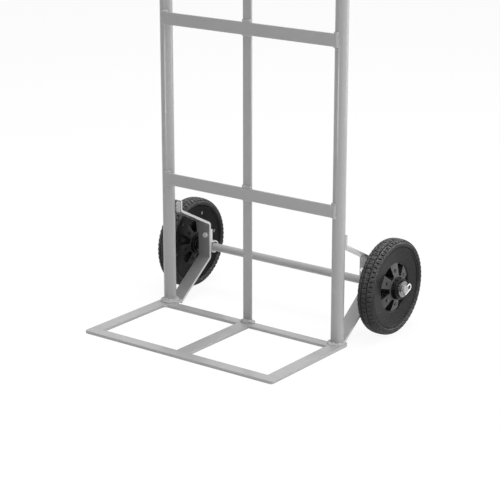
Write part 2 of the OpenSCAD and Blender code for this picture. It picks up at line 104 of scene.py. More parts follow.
def round_edges(obj, width, segments=2, angle=35):
    """Bevels the sharp edges and applies the bevel."""
    take(obj)
    bevel = obj.modifiers.new("round_edges", "BEVEL")
    bevel.width = width
    bevel.segments = segments
    bevel.limit_method = "ANGLE"
    bevel.angle_limit = math.radians(angle)
    bevel.use_clamp_overlap = True
    bpy.ops.object.modifier_apply(modifier=bevel.name)


def put_at_origin(obj):
    """Puts the object's place, turn and size into its mesh."""
    take(obj)
    bpy.ops.object.transform_apply(location=True, rotation=True, scale=True)


def smooth(obj, angle=35):
    """Shades every edge smooth that turns less than the angle."""
    take(obj)
    bpy.ops.object.shade_smooth_by_angle(angle=math.radians(angle))


def flatten_shading(obj):
    """Keeps wide faces flat to the eye, and lets only the rounded edges turn the light."""
    smooth(obj, 50)
    weighted = obj.modifiers.new("flat_faces", "WEIGHTED_NORMAL")
    weighted.keep_sharp = True
    weighted.weight = 100
    bpy.ops.object.modifier_apply(modifier=weighted.name)


def hand_over(obj, name, body, material, replaces=()):
    """Names a finished piece, paints it, and ties it to its CAD body."""
    put_at_origin(obj)
    obj.name = name
    obj.data.name = name
    obj.data.materials.clear()
    obj.data.materials.append(material)
    if replaces:
        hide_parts(*replaces)
    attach(obj, body)
    return obj


def join(parts):
    """Makes one object of several."""
    deselect_all()
    for part in parts:
        part.select_set(True)
    bpy.context.view_layer.objects.active = parts[0]
    if len(parts) > 1:
        bpy.ops.object.join()
    return bpy.context.view_layer.objects.active


def copy_of(obj):
    """A copy with a mesh of its own."""
    twin = obj.copy()
    twin.data = obj.data.copy()
    bpy.context.scene.collection.objects.link(twin)
    return twin


def ring_of_points(points):
    """A closed loop of edges through the points, started from a circle with as many corners."""
    deselect_all()
    bpy.ops.mesh.primitive_circle_add(vertices=len(points), radius=1, location=(0, 0, 0))
    loop = bpy.context.active_object
    for vert, point in zip(loop.data.vertices, points):
        vert.co = point
    return loop


def about_x(x, radius, angle):
    """Point at a radius from the X axis, at an angle from straight up towards +Y."""
    return Vector((x, radius * math.sin(angle), radius * math.cos(angle)))


def revolve_about_x(section, start, sweep, steps):
    """Spins a closed section of (x, radius) points about the X axis."""
    loop = ring_of_points([about_x(x, r, start) for x, r in section])
    edit(loop)
    bpy.ops.mesh.select_all(action="SELECT")
    bpy.ops.mesh.spin(steps=steps, angle=sweep, center=(0, 0, 0), axis=(-1, 0, 0))
    leave_edit()
    return loop


# ---------------------------------------------------------------- places, from the frame

def middle(node):
    """Middle of a CAD node's box."""
    low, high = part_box(node)
    return (low + high) / 2


def size_of(node):
    """Width, depth and height of a CAD node's box."""
    low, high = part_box(node)
    return high - low


upright_low, upright_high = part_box("right_upright")
tube_r = (upright_high.x - upright_low.x) / 2
upright_x = middle("right_upright").x
heel_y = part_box("right_axle_bracket")[0].y    # where the strips lie against the tubes' backs
upright_y = heel_y - tube_r
plate_t = size_of("plate_back_rail").z
tyre_low, tyre_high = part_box("right_tyre")
wheel_r = (tyre_high.z - tyre_low.z) / 2
wheel_x = (tyre_low.x + tyre_high.x) / 2
tyre_half = (tyre_high.x - tyre_low.x) / 2
axle_y = middle("axle").y
axle_z = middle("axle").z
HUB_R = 23 * MM              # radius of the rim's hub
RECESS_R = 50 * MM           # radius of the recess that holds the spokes
SPOKE_FACE_DEPTH = 5 * MM    # the spokes' faces lie at least this far from the wheel's middle plane
GROOVE_SHADE = "groove_shade"            # attribute that marks the floor of the tread, where shade is painted


# ---------------------------------------------------------------- materials

def grey(value):
    return (value, value, value, 1)


class Nodes:
    """Short calls for laying out a material's or a group's nodes."""

    def __init__(self, tree):
        self.tree = tree
        self.tree.nodes.clear()

    def add(self, kind, **values):
        node = self.tree.nodes.new(kind)
        for key, value in values.items():
            setattr(node, key, value)
        return node

    def link(self, source, target):
        self.tree.links.new(source, target)

    def noise(self, coords, scale, detail=2.0, roughness=0.5):
        node = self.add("ShaderNodeTexNoise")
        node.inputs["Scale"].default_value = scale
        node.inputs["Detail"].default_value = detail
        node.inputs["Roughness"].default_value = roughness
        self.link(coords, node.inputs["Vector"])
        return node.outputs["Fac"]

    def span(self, value, low, high, to_low=0.0, to_high=1.0):
        """Maps a value from one range to another and stops at its ends."""
        node = self.add("ShaderNodeMapRange")
        node.inputs["From Min"].default_value = low
        node.inputs["From Max"].default_value = high
        node.inputs["To Min"].default_value = to_low
        node.inputs["To Max"].default_value = to_high
        self.link(value, node.inputs["Value"])
        return node.outputs["Result"]

    def blend(self, fac, a, b):
        node = self.add("ShaderNodeMix", data_type="RGBA")
        for socket, value in ((0, fac), (6, a), (7, b)):
            if isinstance(value, bpy.types.NodeSocket):
                self.link(value, node.inputs[socket])
            else:
                node.inputs[socket].default_value = value
        return node.outputs[2]

    def math(self, operation, a, b):
        node = self.add("ShaderNodeMath", operation=operation)
        for socket, value in ((0, a), (1, b)):
            if isinstance(value, bpy.types.NodeSocket):
                self.link(value, node.inputs[socket])
            else:
                node.inputs[socket].default_value = value
        return node.outputs[0]


def new_group(name, inputs, outputs):
    """A shader node group with named sockets. Each input is (name, kind, default)."""
    group = bpy.data.node_groups.new(name, "ShaderNodeTree")
    nodes = Nodes(group)
    for label, kind, default in inputs:
        socket = group.interface.new_socket(label, in_out="INPUT", socket_type=kind)
        socket.default_value = default
    for label, kind in outputs:
        group.interface.new_socket(label, in_out="OUTPUT", socket_type=kind)
    start = nodes.add("NodeGroupInput")
    end = nodes.add("NodeGroupOutput")
    return group, nodes, start, end


def facing_of(nodes, normal, axis):
    """One axis of the direction that the surface faces."""
    split = nodes.add("ShaderNodeSeparateXYZ")
    nodes.link(nodes.add("ShaderNodeNewGeometry").outputs[normal], split.inputs[0])
    return split.outputs[axis]


def make_orange_peel():
    """The slight ripple and fine speckle of a sprayed coat: its height and a mottled colour."""
    group, nodes, start, end = new_group(
        "orange_peel",
        [("Color", "NodeSocketColor", (0.5, 0.5, 0.5, 1)), ("Mottle", "NodeSocketFloat", 0.06),
         ("Ripple", "NodeSocketFloat", 700.0)],
        [("Color", "NodeSocketColor"), ("Height", "NodeSocketFloat")])
    coords = nodes.add("ShaderNodeTexCoord").outputs["Object"]
    fine = nodes.add("ShaderNodeTexNoise")
    nodes.link(coords, fine.inputs["Vector"])
    nodes.link(start.outputs["Ripple"], fine.inputs["Scale"])
    broad = nodes.noise(coords, 9.0, 3.0)
    grain = nodes.noise(coords, 1500.0, 1.0)
    patches = nodes.span(broad, 0.3, 0.7, -0.5, 0.5)
    specks = nodes.span(grain, 0.3, 0.7, -0.5, 0.5)
    shade = nodes.math("ADD", nodes.math("MULTIPLY", patches, 0.6), nodes.math("MULTIPLY", specks, 0.4))
    amount = nodes.math("MULTIPLY", shade, start.outputs["Mottle"])
    factor = nodes.math("ADD", amount, 1.0)
    scaled = nodes.add("ShaderNodeVectorMath", operation="SCALE")
    nodes.link(start.outputs["Color"], scaled.inputs[0])
    nodes.link(factor, scaled.inputs["Scale"])
    nodes.link(scaled.outputs[0], end.inputs["Color"])
    nodes.link(fine.outputs["Fac"], end.inputs["Height"])
    return group


def make_dust_and_top_light():
    """A mask of dust and painted top light on what faces up, broken by noise."""
    group, nodes, start, end = new_group(
        "dust_and_top_light",
        [("Amount", "NodeSocketFloat", 0.3), ("Scale", "NodeSocketFloat", 40.0)],
        [("Mask", "NodeSocketFloat")])
    coords = nodes.add("ShaderNodeTexCoord").outputs["Object"]
    cloud = nodes.add("ShaderNodeTexNoise")
    cloud.inputs["Detail"].default_value = 5.0
    nodes.link(coords, cloud.inputs["Vector"])
    nodes.link(start.outputs["Scale"], cloud.inputs["Scale"])
    # What faces up gets more: real dust, and light from above painted in.
    facing = nodes.span(facing_of(nodes, "Normal", "Z"), -0.1, 0.95, 0.06, 1.0)
    speck = nodes.span(cloud.outputs["Fac"], 0.42, 0.7)
    mask = nodes.math("MULTIPLY", nodes.math("MULTIPLY", facing, speck), start.outputs["Amount"])
    nodes.link(mask, end.inputs["Mask"])
    return group


orange_peel = make_orange_peel()
dust_and_top_light = make_dust_and_top_light()


def new_material(name):
    """A material with one Principled shader on its surface."""
    material = bpy.data.materials.new(name)
    material.use_nodes = True
    nodes = Nodes(material.node_tree)
    shader = nodes.add("ShaderNodeBsdfPrincipled")
    output = nodes.add("ShaderNodeOutputMaterial")
    nodes.link(shader.outputs["BSDF"], output.inputs["Surface"])
    return material, nodes, shader


def place_group(nodes, group, **values):
    """A node group in a material, with values on its sockets."""
    node = nodes.add("ShaderNodeGroup", node_tree=group)
    for key, value in values.items():
        node.inputs[key].default_value = value
    return node


def bump(nodes, shader, height, strength, distance):
    """Raises the shader's surface by a height."""
    node = nodes.add("ShaderNodeBump")
    node.inputs["Strength"].default_value = strength
    node.inputs["Distance"].default_value = distance
    nodes.link(height, node.inputs["Height"])
    nodes.link(node.outputs["Normal"], shader.inputs["Normal"])


def powder_coat(name, color, mottle=0.07, lit_side_color=None):
    """Satin grey powder coat over steel, with painted light on the sides that face ±X if a lit side
    colour is given.
    """
    material, nodes, shader = new_material(name)
    coat = place_group(nodes, orange_peel, Color=color, Mottle=mottle, Ripple=620.0)
    if lit_side_color:
        # Painted light: the sides that face ±X take the lighter colour.
        across = nodes.math("ABSOLUTE", facing_of(nodes, "True Normal", "X"), 0.0)
        painted_light_sides = nodes.span(across, 0.55, 0.85)
        nodes.link(nodes.blend(painted_light_sides, color, lit_side_color), coat.inputs["Color"])
    nodes.link(coat.outputs["Color"], shader.inputs["Base Color"])
    coords = nodes.add("ShaderNodeTexCoord").outputs["Object"]
    satin = nodes.span(nodes.noise(coords, 60.0, 4.0), 0.3, 0.7, 0.36, 0.5)
    nodes.link(satin, shader.inputs["Roughness"])
    bump(nodes, shader, coat.outputs["Height"], 0.12, 0.2 * MM)
    shader.inputs["Coat Weight"].default_value = 0.45
    shader.inputs["Coat Roughness"].default_value = 0.12
    return material


def zinc_plate(name, color, smoothest, roughest, metallic=1.0):
    """Zinc plating: metal with a soft spangle and fine wiping marks."""
    material, nodes, shader = new_material(name)
    shader.inputs["Metallic"].default_value = metallic
    coords = nodes.add("ShaderNodeTexCoord").outputs["Object"]
    spangle = nodes.span(nodes.noise(coords, 420.0, 3.0), 0.35, 0.65)
    darker = tuple(c * 0.78 for c in color[:3]) + (1,)
    nodes.link(nodes.blend(spangle, darker, color), shader.inputs["Base Color"])
    wiped = nodes.span(nodes.noise(coords, 150.0, 4.0), 0.3, 0.7, smoothest, roughest)
    nodes.link(wiped, shader.inputs["Roughness"])
    bump(nodes, shader, nodes.noise(coords, 900.0), 0.15, 0.1 * MM)
    return material


def tyre_rubber():
    """Black rubber that has greyed, with dust and painted top light on it, and painted shade on the
    tread floor.
    """
    material, nodes, shader = new_material("tyre_rubber")
    coords = nodes.add("ShaderNodeTexCoord").outputs["Object"]
    bloom = nodes.span(nodes.noise(coords, 55.0, 5.0), 0.3, 0.7)
    rubber = nodes.blend(bloom, (0.016, 0.016, 0.017, 1), (0.028, 0.028, 0.030, 1))
    # Dust and painted top light: faces that look up turn grey.
    dust_and_light = place_group(nodes, dust_and_top_light, Amount=0.75, Scale=420.0)
    dusty_and_lit = nodes.blend(dust_and_light.outputs["Mask"], rubber, (0.26, 0.26, 0.255, 1))
    # Painted shade: the tread floor is near black, darker than the rubber.
    groove_shade = nodes.add("ShaderNodeAttribute", attribute_name=GROOVE_SHADE)
    nodes.link(nodes.blend(groove_shade.outputs["Fac"], dusty_and_lit, grey(0.006)), shader.inputs["Base Color"])
    worn = nodes.span(nodes.noise(coords, 90.0, 3.0), 0.3, 0.7, 0.55, 0.75)
    nodes.link(worn, shader.inputs["Roughness"])
    shader.inputs["Specular IOR Level"].default_value = 0.2
    bump(nodes, shader, nodes.noise(coords, 1100.0, 3.0), 0.35, 0.15 * MM)
    return material


def spoke_face_mask(nodes, coords):
    """A mask of the spokes' faces, which take painted light: between hub and band, on what looks away
    from the middle plane.
    """
    from_axle = nodes.add("ShaderNodeVectorMath", operation="SUBTRACT")
    nodes.link(coords, from_axle.inputs[0])
    from_axle.inputs[1].default_value = (0, axle_y, axle_z)
    across_axle = nodes.add("ShaderNodeVectorMath", operation="MULTIPLY")
    nodes.link(from_axle.outputs[0], across_axle.inputs[0])
    across_axle.inputs[1].default_value = (0, 1, 1)
    radius = nodes.add("ShaderNodeVectorMath", operation="LENGTH")
    nodes.link(across_axle.outputs[0], radius.inputs[0])
    inside_recess = nodes.span(radius.outputs["Value"], RECESS_R, RECESS_R - 0.6 * MM)
    outside_hub = nodes.span(radius.outputs["Value"], HUB_R, HUB_R + 1.0 * MM)
    place = nodes.add("ShaderNodeSeparateXYZ")
    nodes.link(coords, place.inputs[0])
    facing = facing_of(nodes, "True Normal", "X")
    side = nodes.math("SIGN", place.outputs["X"], 0.0)
    depth = nodes.math("SUBTRACT", nodes.math("ABSOLUTE", place.outputs["X"], 0.0), wheel_x)
    outward = nodes.math("MULTIPLY", nodes.math("MULTIPLY", facing, side), depth)
    shown = nodes.span(outward, SPOKE_FACE_DEPTH, SPOKE_FACE_DEPTH + 3 * MM)
    return nodes.math("MULTIPLY", nodes.math("MULTIPLY", inside_recess, outside_hub), shown)


def rim_plastic(name, gloss, dust_and_light_amount, spoke_light_color):
    """Glossy black moulded plastic with slight flow marks, and painted light on the spokes' faces."""
    material, nodes, shader = new_material(name)
    coords = nodes.add("ShaderNodeTexCoord").outputs["Object"]
    flow = nodes.span(nodes.noise(coords, 30.0, 4.0), 0.35, 0.65)
    smooth_black = nodes.blend(flow, grey(0.004), grey(0.008))
    # Painted light: the spokes' faces are lighter than the band.
    base = nodes.blend(spoke_face_mask(nodes, coords), smooth_black, spoke_light_color)
    # Dust and painted top light: faces that look up turn lighter grey.
    dust_and_light = place_group(nodes, dust_and_top_light, Amount=dust_and_light_amount, Scale=420.0)
    nodes.link(nodes.blend(dust_and_light.outputs["Mask"], base, grey(0.24)), shader.inputs["Base Color"])
    polish = nodes.span(nodes.noise(coords, 45.0, 3.0), 0.3, 0.7, 0.2, 0.32)
    nodes.link(polish, shader.inputs["Roughness"])
    shader.inputs["Specular IOR Level"].default_value = gloss
    bump(nodes, shader, nodes.noise(coords, 260.0, 2.0), 0.08, 0.2 * MM)
    return material


def grip_rubber():
    """Soft matte black rubber with a fine pebble."""
    material, nodes, shader = new_material("grip_rubber")
    coords = nodes.add("ShaderNodeTexCoord").outputs["Object"]
    handled = nodes.span(nodes.noise(coords, 80.0, 4.0), 0.3, 0.7)
    rubber = nodes.blend(handled, (0.020, 0.020, 0.021, 1), (0.036, 0.036, 0.038, 1))
    nodes.link(rubber, shader.inputs["Base Color"])
    worn = nodes.span(nodes.noise(coords, 120.0, 3.0), 0.3, 0.7, 0.5, 0.68)
    nodes.link(worn, shader.inputs["Roughness"])
    pebble = nodes.add("ShaderNodeTexVoronoi")
    pebble.inputs["Scale"].default_value = 900.0
    nodes.link(coords, pebble.inputs["Vector"])
    bump(nodes, shader, pebble.outputs["Distance"], 0.3, 0.2 * MM)
    return material


def bush_nylon():
    """Natural nylon, off-white and a little greasy."""
    material, nodes, shader = new_material("bush_nylon")
    coords = nodes.add("ShaderNodeTexCoord").outputs["Object"]
    greased = nodes.span(nodes.noise(coords, 200.0, 3.0), 0.35, 0.65)
    nylon_color = nodes.blend(greased, (0.62, 0.61, 0.56, 1), (0.70, 0.69, 0.65, 1))
    nodes.link(nylon_color, shader.inputs["Base Color"])
    sheen = nodes.span(nodes.noise(coords, 300.0), 0.3, 0.7, 0.4, 0.55)
    nodes.link(sheen, shader.inputs["Roughness"])
    return material


LIT_SIDE_GREY = grey(0.46)    # painted light: the strip's sides that face ±X are painted lighter than its faces

frame_paint = powder_coat("frame_paint", grey(0.285))
# The brackets' coats are lit and shaded copies of the frame paint: painted shade on the left bracket,
# painted light on the right one.
left_bracket_painted_shade = powder_coat("left_bracket_painted_shade", grey(0.19), lit_side_color=LIT_SIDE_GREY)
right_bracket_painted_light = powder_coat("right_bracket_painted_light", grey(0.36), lit_side_color=LIT_SIDE_GREY)
weld_paint = powder_coat("weld_paint", grey(0.34), mottle=0.2)
zinc = zinc_plate("bright_zinc", grey(0.96), smoothest=0.16, roughest=0.3)
bolt_zinc = zinc_plate("bolt_zinc", (0.90, 0.90, 0.91, 1), smoothest=0.3, roughest=0.5,
                       metallic=0.65)
dull_zinc = zinc_plate("dull_zinc", (0.72, 0.72, 0.73, 1), smoothest=0.34, roughest=0.5,
                       metallic=0.8)
washer_zinc = zinc_plate("washer_zinc", (0.30, 0.30, 0.305, 1), smoothest=0.2, roughest=0.36)
screw_steel = zinc_plate("screw_steel", (0.19, 0.19, 0.195, 1), smoothest=0.16, roughest=0.3)
# Near-black steel for the axle collars and inner washers between bracket and hub.
near_black_steel = zinc_plate("near_black_steel", (0.060, 0.060, 0.062, 1), smoothest=0.28, roughest=0.42)
tyre_black = tyre_rubber()
rim_black = rim_plastic("rim_plastic_outside", gloss=0.13, dust_and_light_amount=0.3,
                        spoke_light_color=grey(0.052))
# The inner halves are a shaded copy of the rim plastic: less gloss, less painted spoke light and less
# dust and top light, as painted shade on the side that faces the frame.
rim_inside_shaded_black = rim_plastic("rim_plastic_inside", gloss=0.06, dust_and_light_amount=0.12,
                               spoke_light_color=grey(0.022))
grip_black = grip_rubber()
nylon = bush_nylon()


# ---------------------------------------------------------------- finish of the CAD nodes

def paint(node, material):
    """Gives a CAD node its finish."""
    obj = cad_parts[node]
    obj.data.materials.clear()
    obj.data.materials.append(material)


def rounded_copy(node, name, material, width, segments=2):
    """A finished copy of a CAD node with its edges rounded, which takes the node's place."""
    piece = copy_of(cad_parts[node])
    for key in list(piece.keys()):
        del piece[key]
    clean_up(piece)
    edit(piece)
    bpy.ops.mesh.select_all(action="SELECT")
    bpy.ops.mesh.customdata_custom_splitnormals_clear()
    bpy.ops.mesh.dissolve_limited(angle_limit=math.radians(0.5))
    leave_edit()
    round_edges(piece, width, segments)
    flatten_shading(piece)
    return hand_over(piece, name, "frame", material, replaces=(node,))


PLATE_BARS = ["plate_front_bar", "plate_left_bar", "plate_right_bar", "plate_centre_bar",
              "plate_back_rail"]
CROSSBARS = ["lower_crossbar", "middle_crossbar", "top_crossbar"]
FRAME_BARS = CROSSBARS + ["centre_bar"]
# The left bracket takes painted shade, the right one painted light.
BRACKETS = {"left_axle_bracket": left_bracket_painted_shade, "right_axle_bracket": right_bracket_painted_light}
PLATE_ROUNDING = 0.7 * MM    # rolled edges of the plate's flat bars
FRAME_ROUNDING = 0.8 * MM    # rolled edges of the crossbars, the centre bar and the strips
FINISHES = {
    "axle": frame_paint,
    "axle_collars": near_black_steel,
    "inner_washers": near_black_steel,
    "left_axle_clip": dull_zinc,
    "right_axle_clip": dull_zinc,
    "clip_bolts": bolt_zinc,
    "clip_nuts": bolt_zinc,
    "outer_washers": washer_zinc,
    "hairpin_clips": zinc,
}
FINISHES_ON_BOTH_SIDES = {
    "rim_screws": screw_steel,
    "hub_bushes": nylon,
    "tyre": tyre_black,
    "rim_outer": rim_black,
    "rim_inner": rim_inside_shaded_black,
    "grip": grip_black,
    "upright": frame_paint,
}

for node in PLATE_BARS:
    rounded_copy(node, node + "_rolled", frame_paint, PLATE_ROUNDING)
for node in FRAME_BARS:
    rounded_copy(node, node + "_rolled", frame_paint, FRAME_ROUNDING)
for node, coat in BRACKETS.items():
    rounded_copy(node, node + "_rolled", coat, FRAME_ROUNDING)
for node, finish in FINISHES.items():
    paint(node, finish)
for piece, finish in FINISHES_ON_BOTH_SIDES.items():
    for side in SIDES:
        paint(side + "_" + piece, finish)


# ---------------------------------------------------------------- tyres

TREAD_PITCHES = 60           # blocks round the tyre
STEPS_PER_PITCH = 8          # faces round the tyre in one block and its gap
TREAD_DEPTH = 1.8 * MM
CENTRE_ROW = 5.6 * MM        # half the width of the two centre rows
SHOULDER_ROW = 7.1 * MM      # where each shoulder row starts
NOTCH_START = 9.6 * MM       # where the shoulder's notches start
TREAD_EDGE = 15.0 * MM       # half the width of the tread
CROWN_DROP = 11.25 * MM      # how far the crown falls away at the tyre's full width
CROWN_POWER = 2.8            # 2 is an ellipse, and more is squarer
TYRE_HEIGHT = 15 * MM        # from the rim's lip to the tread
BEAD_HALF = 12.4 * MM        # half the width of the bead in the rim
BEAD_DEPTH = 9.9 * MM        # how deep the bead sits in the rim
BLOCK_EDGE = 0.35 * MM       # bevel round each block
LOWEST_TREAD = 8 * MM        # no face of the tread lies deeper than this
SLIT_STEPS = (0,)            # faces of a pitch that stay low between two centre blocks
NOTCH_STEPS = {1: (3, 4), -1: (6, 7)}    # the same between two shoulder blocks, on either side

# The flank in mm, as (distance from the middle plane, depth below the tread): the shoulder,
# three moulded rings and the toe.
SHOULDER = [(15.9, 5.6), (16.7, 6.9)]
TOP_RING = [(17.4, 7.3), (17.6, 8.3), (17.1, 8.7)]
MIDDLE_RING = [(17.2, 9.5), (17.8, 9.8), (17.8, 10.8), (17.2, 11.1)]
LOW_RING = [(17.1, 11.9), (17.6, 12.2), (17.4, 13.1)]
TOE = [(16.6, 13.9), (15.2, 14.4)]


def crown_radius(x):
    """Outer radius of the tyre at a distance from its middle plane."""
    share = min(abs(x) / tyre_half, 1.0)
    return wheel_r - CROWN_DROP + CROWN_DROP * (1 - share ** CROWN_POWER) ** (1 / CROWN_POWER)


def tyre_section():
    """Closed section of (x, radius): tread floor, shoulders, ringed flanks, bead and seat."""
    lip_r = wheel_r - TYRE_HEIGHT
    in_shoulder = (NOTCH_START + TREAD_EDGE) / 2
    places = (0, CENTRE_ROW / 2, CENTRE_ROW, SHOULDER_ROW, NOTCH_START, in_shoulder, TREAD_EDGE)
    tread = [(x, crown_radius(x) - TREAD_DEPTH) for x in places]
    flank = [(x * MM, wheel_r - drop * MM)
             for x, drop in SHOULDER + TOP_RING + MIDDLE_RING + LOW_RING + TOE]
    bead = [(BEAD_HALF, lip_r + 0.1 * MM), (BEAD_HALF, lip_r - BEAD_DEPTH)]
    half = tread + flank + bead
    return half + [(-x, r) for x, r in reversed(half[1:])]


def tread_block(face):
    """True for a face of the tread floor that a block stands on."""
    place = face.calc_center_median()
    across = abs(place.x)
    in_rim = math.hypot(place.y, place.z) < wheel_r - LOWEST_TREAD
    if in_rim or across > TREAD_EDGE:
        return False
    step = math.tau / (TREAD_PITCHES * STEPS_PER_PITCH)
    index = int((math.atan2(place.y, place.z) % math.tau) / step) % STEPS_PER_PITCH
    if across < CENTRE_ROW:
        return index not in SLIT_STEPS
    if across < SHOULDER_ROW:
        return False
    return across < NOTCH_START or index not in NOTCH_STEPS[1 if place.x > 0 else -1]


def mark_groove_shade(tyre):
    """Marks the floor of the tread, which takes painted shade, darker than the blocks."""
    mark = tyre.data.attributes.new(name=GROOVE_SHADE, type="FLOAT", domain="FACE")
    for face in tyre.data.polygons:
        x, y, z = face.center
        sunk = crown_radius(x) - math.hypot(y, z)
        in_groove = abs(x) < TREAD_EDGE and 0.7 * TREAD_DEPTH < sunk < 2 * TREAD_DEPTH
        mark.data[face.index].value = float(in_groove)


def make_tyre():
    """A moulded tyre about the X axis: its section is spun, then the tread blocks are drawn out."""
    tyre = revolve_about_x(tyre_section(), 0.0, math.tau, TREAD_PITCHES * STEPS_PER_PITCH)
    clean_up(tyre, 0.02 * MM)
    edit(tyre)
    pick_faces(tyre, tread_block)
    bpy.ops.mesh.extrude_region_shrink_fatten(TRANSFORM_OT_shrink_fatten={"value": TREAD_DEPTH})
    bpy.ops.mesh.region_to_loop()
    bpy.ops.mesh.bevel(offset=BLOCK_EDGE, segments=2, affect="EDGES")
    bpy.ops.mesh.select_all(action="SELECT")
    bpy.ops.mesh.normals_make_consistent(inside=False)
    leave_edit()
    smooth(tyre, 40)
    mark_groove_shade(tyre)
    return tyre


def move_mesh(obj, offset):
    """Moves the mesh and leaves the object's origin."""
    edit(obj)
    bpy.ops.mesh.select_all(action="SELECT")
    bpy.ops.transform.translate(value=offset)
    leave_edit()


first_tyre = make_tyre()
for side, sign in SIDES.items():
    tyre = copy_of(first_tyre)
    move_mesh(tyre, (sign * wheel_x, axle_y, axle_z))
    hand_over(tyre, side + "_treaded_tyre", side + "_wheel", tyre_black,
              replaces=(side + "_tyre",))
bpy.data.objects.remove(first_tyre)


# ---------------------------------------------------------------- spoke bosses

SPOKES = 6
SPOKE_TURN = {"left": 10, "right": 33}    # how far each wheel is turned at rest, in degrees
BOSS_AT_R = 35 * MM          # from the axle to a boss
BOSS_TOP = 14.3 * MM         # from the wheel's middle plane to the boss's end
CORE_HOLE_R = 2.3 * MM
CAP_FLATNESS = 0.36


def boss_cap():
    """A shallow dome that closes the core hole of one spoke boss, about the X axis."""
    deselect_all()
    bpy.ops.mesh.primitive_uv_sphere_add(segments=20, ring_count=10, radius=CORE_HOLE_R,
                                         location=(0, 0, 0))
    cap = bpy.context.active_object
    edit(cap)
    bpy.ops.mesh.select_all(action="SELECT")
    bpy.ops.transform.resize(value=(CAP_FLATNESS, 1, 1))
    leave_edit()
    smooth(cap, 60)
    return cap


def make_boss_caps():
    """One cap on each spoke's boss, on the outer side of each wheel."""
    first = boss_cap()
    for side, sign in SIDES.items():
        caps = []
        for k in range(SPOKES):
            turn = math.radians(SPOKE_TURN[side] + (k + 0.5) * 360 / SPOKES)
            cap = copy_of(first)
            move_mesh(cap, (sign * (wheel_x + BOSS_TOP), axle_y + BOSS_AT_R * math.sin(turn),
                            axle_z - BOSS_AT_R * math.cos(turn)))
            caps.append(cap)
        hand_over(join(caps), side + "_boss_caps", side + "_wheel", rim_black)
    bpy.data.objects.remove(first)


make_boss_caps()


# ---------------------------------------------------------------- weld beads

chance = random.Random(11)
bar_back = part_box("lower_crossbar")[1].y
bar_half = size_of("lower_crossbar").z / 2
levels = [middle(node).z for node in CROSSBARS]

DROP_PITCH = 0.55            # from one drop of a bead to the next, as a share of its radius
DROP_SWELL = 0.9             # how much a rough bead's drops differ in size
RUN_STEPS = 22               # straight pieces in a run round a foot
FINE = 0.5 * MM              # voxel of the beads with the most detail
COARSE = 0.6 * MM

# Runs of weld round the foot of each upright: how far above the plate and out from the tube each
# one lies and the radius of its drops, in mm, and its two ends in degrees from +X towards +Y.
FOOT_RUNS = {
    "left": (dict(rise=1.5, out=1.2, size=3.3, start=-235, end=55),
             dict(rise=0.4, out=3.9, size=2.5, start=-165, end=-5),
             dict(rise=5.0, out=0.4, size=2.2, start=-240, end=60)),
    "right": (dict(rise=0.8, out=0.8, size=2.4, start=-235, end=55),
              dict(rise=0.2, out=3.6, size=2.0, start=-150, end=10),
              dict(rise=0.0, out=6.4, size=1.5, start=-120, end=-20)),
}


def weld_drop():
    """One ripple of a bead: a ball, flattened a little, with a blunt trailing side."""
    deselect_all()
    bpy.ops.mesh.primitive_uv_sphere_add(segments=14, ring_count=9, radius=1, location=(0, 0, 0))
    drop = bpy.context.active_object
    edit(drop)
    pick_verts(drop, lambda vert: vert.co.x < -0.3)
    bpy.ops.transform.resize(value=(0.75, 1.05, 1.05))
    leave_edit()
    return drop


def lay_bead(drop, path, size, roughness):
    """Copies of the drop along a path of points, each turned along the path."""
    drops = []
    for a, b in zip(path[:-1], path[1:]):
        run = (b - a).length
        count = max(1, round(run / (DROP_PITCH * size)))
        for k in range(count):
            spot = a.lerp(b, (k + 0.5) / count)
            spot += Vector([chance.uniform(-1, 1) * roughness * size for _ in range(3)])
            swell = size * (1 + chance.uniform(-1, 1) * DROP_SWELL * roughness)
            turn = X_AXIS.rotation_difference(b - a).to_matrix().to_4x4()
            twin = copy_of(drop)
            twin.data.transform(Matrix.Translation(spot) @ turn @ Matrix.Scale(swell, 4))
            drops.append(twin)
    return drops


def fuse(name, drops, voxel, rounds):
    """Melts the drops into one skin, and eases it by some rounds of smoothing."""
    bead = join(drops)
    take(bead)
    melt = bead.modifiers.new("melt", "REMESH")
    melt.mode = "VOXEL"
    melt.voxel_size = voxel
    melt.use_smooth_shade = True
    bpy.ops.object.modifier_apply(modifier=melt.name)
    if rounds:
        ease = bead.modifiers.new("ease", "SMOOTH")
        ease.factor = 0.5
        ease.iterations = rounds
        bpy.ops.object.modifier_apply(modifier=ease.name)
    return hand_over(bead, name, "frame", weld_paint)


def near(x, y, z, right=0, back=0, up=0):
    """The point some millimetres to the right of, behind and above a place."""
    return Vector((x + right * MM, y + back * MM, z + up * MM))


def foot_run(drop, foot, rise, out, size, start, end):
    """One level run of weld round the foot of an upright, from one angle to another."""
    centre = foot + Vector((0, 0, rise * MM))
    radius = tube_r + out * MM
    first, last = math.radians(start), math.radians(end)
    angles = [first + (last - first) * k / RUN_STEPS for k in range(RUN_STEPS + 1)]
    path = [centre + Vector((radius * math.cos(a), radius * math.sin(a), 0)) for a in angles]
    return lay_bead(drop, path, size * MM, 0.5)


def weld_feet(drop):
    """Lumpy rings of weld round the foot of each upright."""
    for side, sign in SIDES.items():
        foot = Vector((sign * upright_x, upright_y, plate_t))
        drops = []
        for run in FOOT_RUNS[side]:
            drops += foot_run(drop, foot, **run)
        fuse(side + "_foot_weld", drops, FINE, 1)


